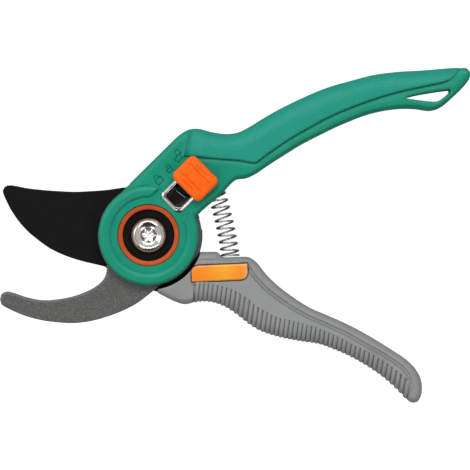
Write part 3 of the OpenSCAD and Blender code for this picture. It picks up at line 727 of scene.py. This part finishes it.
def lobes(scale):
    return lambda turn: scale * (2.45 + 0.34 * np.cos(6 * turn))


shank = [(0.01, bolt_bottom), (thread_r - 0.4, bolt_bottom), (thread_r, bolt_bottom + 0.4),
         (thread_r, step_z), (shoulder_r, step_z), (shoulder_r, head_low), (head_r - 0.1, head_low),
         (head_r, head_low + 0.15)]
head_and_socket = [
    (head_r, 1.35), (7.25, 1.15), (6.2, 0.25), (5.95, 0.08), (5.75, 0), (5.55, 0.02), (5.3, 0.15),
    (4.6, 0.75), (3.7, 1.3), (3.35, 1.42), (lobes(1.06), 1.45), (lobes(1.0), 1.55), (lobes(0.97), 2.0),
    (0.01, 3.0)]
bolt_rings = shank + [(r, bolt_high - down) for r, down in head_and_socket]
bolt_steel = Finish("turned_bright_steel", Metallic=1.0)
bolt_scuff = bolt_steel.noise(0.0007, 4.0)
radius_field = bolt_steel.place.node(
    "ShaderNodeVectorMath", {"operation": "LENGTH"}, {0: bolt_steel.place}, out=1)
lathe_lines = radius_field.sum_of("SINE", radius_field * 42000.0)
bolt_steel.put(
    Base_Color=bolt_steel.between(bolt_scuff, (0.72, 0.70, 0.66), (0.80, 0.79, 0.76)),
    Roughness=0.16 + 0.06 * bolt_scuff,
    Normal=bolt_steel.bump(lathe_lines, 0.000004, 0.35))
bolt = turned("pivot_bolt_turned", bolt_rings, bolt_steel, sides=144)
belongs(bolt, "upper_handle", "plated_steel", "pivot_bolt")

# ---- Cutting blade ----
# Ground carbon steel under a matt black non-stick coating. The bevel is on the back, so that the flat
# front face passes close behind the hook.
blade_back = [[-11.4, 20.5], [-18.3, 19.5], [-25, 19], [-32, 18.7], [-39, 19], [-45.8, 19.5], [-52.7, 20.3],
              [-59.4, 21.5], [-61.6, 21.1], [-62.9, 19.2], [-62.4, 17]]
blade_edge = [[-62.4, 17], [-59.6, 11.3], [-56.2, 6.2], [-52.7, 2.2], [-49.3, -0.8], [-42.4, -5.8],
              [-35.5, -9], [-28.6, -11.2], [-21.8, -12.8], [-18.9, -13.5]]
blade_tang = [[3.2, -24.2], [12, -26.3], [22, -25.5], [38, -30], [56, -39], [60, -35], [46, -22],
              [34, -14.5], [24, -11]]
heel_r, bush_r, bevel_w = 23.0, 5.56, 3.2
blade_low, blade_high = heights("cutting_blade")
spine_line = curve(blade_back)
cutting_line = curve(blade_edge)


def notch(turn):
    """Outline of one notch, from the heel's edge in and out again, anticlockwise along the heel."""
    open_end = math.sqrt(heel_r ** 2 - (SLIDE_SIDE - slot_r) ** 2)
    far_end = math.sqrt(heel_r ** 2 - (SLIDE_SIDE + slot_r) ** 2)
    round_end = arc(slot_r, -90, -270, 12, (pin_locked - 0.1, 0))
    line = np.vstack([[[open_end, -slot_r]], round_end, [[far_end, slot_r]]])
    p = on_slide(line)
    c, s = math.cos(math.radians(turn)), math.sin(math.radians(turn))
    return p @ np.array([[c, s], [-s, c]])


def polar(p):
    return math.degrees(math.atan2(p[1], p[0]))


notches = [notch(-40), notch(0)]
heel = [arc(heel_r, -20, polar(notches[0][0]) - 0.5, 12), notches[0],
        arc(heel_r, polar(notches[0][-1]) + 0.5, polar(notches[1][0]) - 0.5, 16), notches[1],
        arc(heel_r, polar(notches[1][-1]) + 0.5, 117, 30)]
blade_outline = np.vstack([spine_line, cutting_line[1:], arc(heel_r, 219, 262, 30), blade_tang, *heel])


def blade_under(p):
    ends = [np.clip(np.hypot(*(p - end).T) / 6, 0, 1) for end in (cutting_line[-1], cutting_line[0])]
    fade = np.clip(distance(p, blade_outline[:2]) / 4, 0, 1) * ends[0] * ends[1]
    ground = np.clip(1 - distance(p, cutting_line) / bevel_w, 0, 1)
    return blade_low + (blade_high - blade_low - 0.35) * ground * fade


coated = Finish("black_blade_coat", Specular_IOR_Level=0.12)
coat_cloud = coated.noise(0.008)
coat_grain = coated.noise(0.00022, 3.0)
coated.put(Base_Color=coated.between(coat_cloud, (0.0034, 0.0038, 0.0036), (0.0052, 0.0057, 0.0055)),
           Roughness=0.42 + 0.14 * coat_grain,
           Normal=coated.bump(coat_grain, 0.000015, 0.6))
blade = relief("blade", [blade_outline, arc(bush_r, 0, 354, 59)],
               lambda p: blade_high - fall(distance(p, spine_line), 0.25), blade_under, coated, step=1.4,
               rim=(0.08, 0.25, 0.7, 1.4, 2.3, 3.2))
belongs(blade, "lower_handle", "blade_steel", "cutting_blade")

# ---- Grey handle's hard core ----
# Injection-moulded grey nylon round the blade's tang: a disc behind the blade, the stop block, the
# spring's seat, and a rim along the inner side of the handle.
lower_edge = [[4, -24.8], [10.9, -28.3], [15.5, -29.6], [21.2, -28.4], [26, -28.4], [31.6, -30],
              [36.5, -32.8], [41.9, -37], [47, -40.4], [53, -42.7], [60, -44.4], [67, -45.6], [73, -46.5],
              [80, -49],
              [86.6, -51.9], [93.5, -55.8], [100.4, -60.5], [107.2, -66.5], [109.9, -69.4], [112.3, -71.6],
              [115, -71.5], [116.7, -69], [117.2, -65], [116.4, -60.8], [114.1, -56.8]]
rim_edge = [[114.1, -56.8], [110.7, -53.5], [103.8, -48.9], [96.9, -44.6], [90, -40.7], [83.2, -37.3],
            [76.3, -34.3], [69.4, -31.3], [62.5, -27], [55.6, -21.8], [50.5, -16.9], [46.3, -11.7],
             [43, -9.5],
            [38, -9.3], [31.6, -9.3], [29.7, -7.5], [28.6, -7.2], [22.6, -7.2]]
rim_groove = [[43.4, -13.7], [45, -16.3], [47.5, -19.3], [50, -22], [55, -26], [60, -29.5], [65, -32.5],
              [70, -35.1], [75, -37.2], [80, -39.5], [85, -41.8], [90, -44.7], [95, -47.5], [100, -50.1],
              [105, -53.3], [108, -55.6], [110, -57.4], [111.5, -59.4], [112.5, -62],
              [112.8, -64.8], [112.4, -67],
              [111.2, -69.2]]
foot_line = curve(lower_edge)
inner_rim_line = curve(rim_edge)
rim_groove_line = curve(rim_groove)
lower_edge_line = np.vstack([foot_line, inner_rim_line[1:]])
front_arc_r = 23.5
foot_split = int(np.argmin(np.hypot(*(foot_line - [18.9, -29.2]).T)))
tail_split = int(np.argmin(np.hypot(*(foot_line - [111.0, -70.4]).T)))
badge_under = np.array([[41.6, -15.2], [19.2, -17.2]])
core_zone = np.vstack([foot_line[:foot_split + 1], badge_under[::-1], rim_groove_line,
                       foot_line[tail_split:], inner_rim_line[1:]])
lower_core_top = channel_z
upper_pane = np.vstack([core_zone, arc(front_arc_r, -17.8, -80, 40)])
badge_turn = math.radians(2.5)
badge_place = np.array([18.6, -20.0])


def on_badge(points):
    p = np.asarray(points, float)
    c, s = math.cos(badge_turn), math.sin(badge_turn)
    return badge_place + p @ np.array([[c, s], [-s, c]])


badge_w, badge_h, badge_corner = 24.0, 6.9, 3.0
badge_outline = on_badge(np.vstack([
    [[0, 0]], arc(badge_corner, -90, 0, 8, (badge_w - badge_corner, badge_corner)),
    [[badge_w, badge_h]], arc(badge_corner, 90, 180, 8, (badge_corner, badge_h - badge_corner))]))
badge_ring = ringed(badge_outline)
recess_edge, recess_slope = 0.5, 0.12


def lower_core_front(p):
    seam = fall(distance(p, rim_groove_line), 0.4, 0.8)
    dish = 0.9 * np.clip((recess_edge - distance(p, badge_ring)) / recess_slope, 0, 1)
    inset_groove = 0.45 * np.exp(-(distance(p, inner_groove_line) / 0.35) ** 2)
    return lower_core_top - fall(distance(p, lower_edge_line), 2.8, 4.2) - seam - dish - inset_groove - fall(
        np.abs(np.hypot(*p.T) - front_arc_r), 0.6)


inner_groove_line = curve([[22.4, -10.7], [30, -10.6], [38.4, -10.8], [42.0, -11.6], [43.4, -13.7]])
groove_rows = np.vstack([inner_groove_line + [0, o] for o in (-0.7, -0.45, -0.25, 0, 0.25, 0.45, 0.7)])
badge_even = evened(badge_outline, 0.5)
badge_along = np.roll(badge_even, -1, axis=0) - np.roll(badge_even, 1, axis=0)
badge_out = np.stack([badge_along[:, 1], -badge_along[:, 0]], axis=1)
badge_out /= np.linalg.norm(badge_along, axis=1)[:, None]
badge_rows = np.vstack([badge_even + badge_out * o for o in (0.0, 0.2, 0.36, 0.52, 0.75)])
grey_nylon = Finish("grey_nylon", Specular_IOR_Level=0.25)
grey_cloud = grey_nylon.noise(0.012)
grey_skin = grey_nylon.noise(0.00018, 2.0)
grey_nylon.put(
    Base_Color=grey_nylon.between(grey_cloud, (0.254, 0.261, 0.257), (0.283, 0.290, 0.286)),
    Roughness=0.42 + 0.12 * grey_skin,
    Normal=grey_nylon.bump(grey_skin, 0.00002, 0.5))
lower_front = relief("lower_handle_front", [upper_pane], lower_core_front, lambda p: blade_low,
                     grey_nylon, step=1.0, rim=(0.05, 0.18, 0.4, 0.8, 1.4, 2.2, 3.2, 4.2),
                     extra=np.vstack([groove_rows, badge_rows]))
seat_mouth = 9.3
seat_path = np.column_stack([arc(spring_arc_r, spring_low, seat_mouth, 16, spring_centre),
                             np.full(17, spring_z)])
cut(lower_front, swept("seat_tool", seat_path, 4.5, 28, grey_nylon))
belongs(lower_front, "lower_handle", "grey_nylon", "lower_handle_core")

nut_recess_r = 6.57
lower_back_outline = np.vstack([core_zone[:-1], [[22.0, -7.2]], arc(back_disc_r, -18.5, 278, 170)])
lower_back = relief(
    "lower_handle_back", [lower_back_outline, arc(nut_recess_r, 0, 354, 59)],
    lambda p: blade_low - 0.05,
    lambda p: np.minimum(fall(distance(p, lower_edge_line), 4.0) + fall(
        np.where(np.hypot(*p.T) < back_disc_r + 1, back_disc_r - np.hypot(*p.T), 9), 1.2) + fall(
        np.hypot(*p.T) - nut_recess_r, 0.5) + fall(distance(p, rim_groove_line), 0.4), blade_low - 0.3),
    grey_nylon, step=1.3, rim=(0.05, 0.18, 0.4, 0.8, 1.4, 2.2, 3.2, 4.2))
belongs(lower_back, "lower_handle", "grey_nylon", "lower_handle_core")

# ---- Grey soft grip and its ribs ----
# Softer grey rubber moulded over the outer side of the lower handle. Upright ribs run from a curved
# line on the front, round the outer edge, to the same line on the back.
rib_first, rib_count, rib_pitch, rib_lean, rib_last = 19.2, 48, 1.915, 0.12, 110.2
rib_line = curve([[19.2, -20.9], [26, -20.9], [30, -21.5], [34, -22.5], [38, -24.3], [41.6, -26.5],
                  [45.4, -29.7], [49.3, -32.2], [53, -34.2], [56.8, -35.7], [64.7, -37.4], [72.5, -39.9],
                  [80.5, -43.3],
                  [87.5, -46.8], [94.9, -50.6], [102.9, -55.4], [106.5, -58.1],
                  [109.8, -60.9], [111.8, -64.4],
                  [112.2, -66.6]])
grip_foot = foot_line[foot_split:tail_split + 1]
soft_outline = np.vstack([grip_foot, rim_groove_line[::-1], badge_under])
soft_top_z = lower_core_top + 0.55
valley = 0.95


def soft_drop(p):
    y_rib = np.interp(p[:, 0], rib_line[:, 0], rib_line[:, 1])
    ribbed = np.clip((y_rib - p[:, 1]) / 0.35, 0, 1) * (p[:, 0] < 111.0)
    seam = np.interp(distance(p, rim_groove_line), [0, 1.25, 1.65], [0.5, 1.05, 0])
    dish = 1.2 * np.clip((recess_edge - distance(p, badge_ring)) / recess_slope, 0, 1)
    return fall(distance(p, foot_line), 6.6) + seam + valley * ribbed + dish


soft_grey = Finish("grey_soft_grip", Specular_IOR_Level=0.22)
soft_cloud = soft_grey.noise(0.010)
soft_skin = soft_grey.noise(0.00025, 3.0)
soft_grey.put(
    Base_Color=soft_grey.between(soft_cloud, (0.270, 0.278, 0.274), (0.302, 0.310, 0.306)),
    Roughness=0.5 + 0.14 * soft_skin,
    Normal=soft_grey.bump(soft_skin, 0.00003, 0.6))
rib_rows = rib_line[:, None, :] + np.array([[0, -0.4], [0, -0.2], [0, 0], [0, 0.2]])[None]
soft_grip = relief("lower_soft_grip", [soft_outline], lambda p: soft_top_z - soft_drop(p), soft_drop,
                   soft_grey, step=1.1, rim=(0.06, 0.2, 0.45, 0.8, 1.25, 1.45, 1.65, 2.2, 3.0, 4.4, 6.2),
                   extra=np.vstack([rib_rows.reshape(-1, 2), badge_rows]))
belongs(soft_grip, "lower_handle", "grey_grip", "lower_handle_grip")


def bar_tree(name, finish):
    """Geometry Nodes that sweep a round bar along each line of a mesh."""
    tree = bpy.data.node_groups.new(name, "GeometryNodeTree")
    tree.interface.new_socket("Lines", in_out="INPUT", socket_type="NodeSocketGeometry")
    width = tree.interface.new_socket("Bar radius", in_out="INPUT", socket_type="NodeSocketFloat")
    sides = tree.interface.new_socket("Sides", in_out="INPUT", socket_type="NodeSocketInt")
    tree.interface.new_socket("Bars", in_out="OUTPUT", socket_type="NodeSocketGeometry")
    start = tree.nodes.new("NodeGroupInput")
    line = tree.nodes.new("GeometryNodeMeshToCurve")
    profile = tree.nodes.new("GeometryNodeCurvePrimitiveCircle")
    sweep = tree.nodes.new("GeometryNodeCurveToMesh")
    smooth = tree.nodes.new("GeometryNodeSetShadeSmooth")
    real = tree.nodes.new("GeometryNodeRealizeInstances")
    coat = tree.nodes.new("GeometryNodeSetMaterial")
    end = tree.nodes.new("NodeGroupOutput")
    sweep.inputs["Fill Caps"].default_value = True
    coat.inputs["Material"].default_value = finish.material
    for a, b in ((start.outputs["Lines"], line.inputs[0]),
                 (start.outputs["Bar radius"], profile.inputs["Radius"]),
                 (start.outputs["Sides"], profile.inputs["Resolution"]),
                 (line.outputs[0], sweep.inputs["Curve"]),
                 (profile.outputs["Curve"], sweep.inputs["Profile Curve"]),
                 (sweep.outputs[0], smooth.inputs[0]), (smooth.outputs[0], real.inputs[0]),
                 (real.outputs[0], coat.inputs[0]), (coat.outputs[0], end.inputs[0])):
        tree.links.new(a, b)
    return tree, width.identifier, sides.identifier


def bars(name, lines, radius, sides, finish):
    """Round bars along lines of points, made by the node tree and baked to a plain mesh."""
    points = np.vstack(lines) / 1000
    joins, base = [], 0
    for line in lines:
        joins += [(base + k, base + k + 1) for k in range(len(line) - 1)]
        base += len(line)
    mesh = bpy.data.meshes.new(name)
    mesh.from_pydata(points.tolist(), joins, [])
    piece = bpy.data.objects.new(name, mesh)
    bpy.context.scene.collection.objects.link(piece)
    tree, width_id, sides_id = bar_tree(name + "_tree", finish)
    nodes = piece.modifiers.new("bars", "NODES")
    nodes.node_group = tree
    nodes[width_id] = radius / 1000
    nodes[sides_id] = sides
    bpy.context.view_layer.update()
    made = bpy.data.meshes.new_from_object(piece.evaluated_get(bpy.context.evaluated_depsgraph_get()))
    piece.modifiers.clear()
    piece.data = made
    return piece


rib_r = 0.98
rib_paths = []
for k in range(rib_count):
    foot_x = rib_first + (k + 0.5) * rib_pitch
    if foot_x > rib_last:
        break
    y_low = np.interp(foot_x, foot_line[:tail_split, 0], foot_line[:tail_split, 1])
    y_high = np.interp(foot_x + 0.9, rib_line[:, 0], rib_line[:, 1]) + 0.9
    y = y_low + (y_high - y_low) * (1 - np.cos(np.linspace(math.pi / 2, 0, 15)))
    at = np.column_stack([foot_x + rib_lean * (y - y_low), y])
    drop = fall(distance(at, foot_line), 6.6)
    drop[-1] = drop[-2]
    proud = np.where(y < y_high - 0.8, 0.04, -0.04)
    front_run = np.column_stack([at, soft_top_z - drop - rib_r + proud])
    back_run = np.column_stack([at, drop + rib_r + 0.02])[::-1]
    for run in (front_run, back_run):
        run[:, 1] = np.maximum(run[:, 1], y_low + rib_r * 0.7)
    rib_paths.append(np.vstack([front_run, back_run]))
ribs = bars("lower_grip_ribs", rib_paths, rib_r, 10, soft_grey)
belongs(ribs, "lower_handle", "grey_grip", "lower_handle_grip")

# ---- Badge ----
# Blank name plate: an orange ground under a clear domed resin, stuck in its recess.
resin = Finish("badge_resin", Coat_Weight=1.0, Coat_Roughness=0.04, Specular_IOR_Level=0.5)
across_badge = resin.place.node("ShaderNodeSeparateXYZ", None, {"Vector": resin.place}, out="X")
badge_painted_light = (across_badge - 0.0186) * (1 / 0.024) + 0.06 * resin.noise(0.006)
# The orange is painted darker at the left end, lighter across the middle and whitish at the right end:
# painted shading and a painted highlight on the dome.
resin.put(Base_Color=resin.shade(badge_painted_light, [
    (0.0, (0.98, 0.235, 0.012)), (0.3, (0.98, 0.30, 0.016)), (0.62, (0.98, 0.40, 0.030)),
    (0.9, (0.97, 0.30, 0.018)), (1.0, (0.98, 0.40, 0.10))]),
    Roughness=0.2 + 0.05 * resin.noise(0.0004))
badge_floor = lower_core_top - 0.5
badge_thick, dome_rise = 1.15, 0.5


def badge_top(p):
    from_edge = distance(p, badge_ring)
    dome = dome_rise * np.clip(from_edge / 3.4, 0, 1) ** 0.7
    return badge_floor + badge_thick + dome - fall(from_edge, 0.6)


badge = relief("badge_dome", [badge_outline], badge_top, lambda p: badge_floor, resin, step=0.6,
               rim=(0.03, 0.1, 0.22, 0.4, 0.6, 1.0, 1.5))
belongs(badge, "lower_handle", "badge_resin", "badge_plate")

# ---- Return spring ----
# Compression spring wound from plated spring-steel wire. Its axis lies on a wide arc, and its top
# coils are inside the green neck.
wire_r, coil_r, coil_turns, per_turn = 0.42, 3.72, 11, 40
steps = coil_turns * per_turn
u = np.linspace(0, 1, steps + 1)
ends = 0.45 / coil_turns
eased = np.interp(u, [0, 0.8 / coil_turns, 1 - 0.8 / coil_turns, 1], [0, ends, 1 - ends, 1])
bend = np.radians(spring_low + 0.19 + (spring_high - spring_low - 0.38) * eased)
wind = 2 * math.pi * coil_turns * u
coil_radius = spring_arc_r + coil_r * np.cos(wind)
coil_path = np.column_stack([
    spring_centre[0] + coil_radius * np.cos(bend), spring_centre[1] + coil_radius * np.sin(bend),
    spring_z + coil_r * np.sin(wind)])
wire_steel = Finish("spring_wire", Metallic=1.0)
wire_marks = wire_steel.noise(0.0006, 3.0)
wire_steel.put(Base_Color=wire_steel.between(wire_marks, (0.40, 0.40, 0.40), (0.52, 0.52, 0.51)),
               Roughness=0.16 + 0.1 * wire_marks)
spring = bars("return_spring", [coil_path], wire_r, 10, wire_steel)
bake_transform(spring)
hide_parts("coil_spring")

# ---- Lock button, carriage and pin ----
# Orange moulded button with two pairs of grooves for the thumb. Its black carriage runs in the
# window and carries the steel pin that drops into the blade's notches.
button_low, button_high = heights("lock_button")
button_l, button_w, button_mid = 13.5, 16.6, 31.3
button_outline = on_slide(round_box(button_mid - button_l / 2, button_mid + button_l / 2, button_w, 2.5, 9))
groove_depth = 0.6
button_grooves = ((-2.4, 6.3, 0.36), (2.8, 6.2, 0.36), (-4.3, 3.7, 0.45), (4.25, 3.7, 0.45))


def button_top(p):
    along = p @ SLIDE - button_mid
    across = p @ ACROSS - SLIDE_SIDE
    sunk = 0
    for at, reach, wide in button_grooves:
        ended = np.clip((reach - np.abs(across)) / 0.5, 0, 1)
        sunk = sunk + groove_depth * np.exp(-((along - at) / wide) ** 2) * ended
    crown = 0.35 * (np.abs(across) / 8.3) ** 2 + 0.25 * (along / 6.75) ** 2
    return button_high - crown - sunk - fall(distance(p, ringed(button_outline)), 1.3)


button_orange = Finish("button_orange", Specular_IOR_Level=0.2)
button_cloud = button_orange.noise(0.004)
button_skin = button_orange.noise(0.0002)
button_orange.put(
    Base_Color=button_orange.between(button_cloud, (0.93, 0.122, 0.003), (0.97, 0.145, 0.005)),
    Roughness=0.34 + 0.12 * button_skin,
    Normal=button_orange.bump(button_skin, 0.00001, 0.5))
groove_spots = on_slide([(button_mid + at + o, w) for at, _, _ in button_grooves
                         for o in (-0.6, -0.4, -0.2, 0, 0.2, 0.4, 0.6) for w in np.arange(-6.8, 6.9, 0.5)])
button = relief("thumb_button", [button_outline], button_top, lambda p: button_low, button_orange,
                step=0.5, rim=(0.04, 0.12, 0.28, 0.5, 0.85, 1.3), extra=groove_spots)
belongs(button, "lock_slider", "orange_plastic", "lock_button")

# ---- Pieces that keep their CAD shape ----
# Bought-in nut, washer and screws, the bronze bush, the detent leaf, the pin and its carriage.
bronze = Finish("sintered_bronze", Metallic=1.0)
bronze_grain = bronze.noise(0.0005, 4.0)
bronze.put(Base_Color=bronze.between(bronze_grain, (0.45, 0.26, 0.09), (0.62, 0.38, 0.15)),
           Roughness=0.3 + 0.2 * bronze_grain)
leaf_steel = Finish("leaf_steel", Metallic=1.0)
leaf_grain = leaf_steel.noise(0.0009, 4.0)
leaf_steel.put(Base_Color=leaf_steel.between(leaf_grain, (0.34, 0.34, 0.35), (0.5, 0.5, 0.5)),
               Roughness=0.28 + 0.2 * leaf_grain)
for node, finish in (("pivot_nut", bright), ("rear_washer", bright), ("upper_tang_screws", bright),
                     ("lower_tang_screws", bright), ("lock_pin", bright), ("blade_bush", bronze),
                     ("detent_spring", leaf_steel), ("lock_carriage", black_nylon)):
    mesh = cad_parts[node].data
    mesh.materials.clear()
    mesh.materials.append(finish.material)
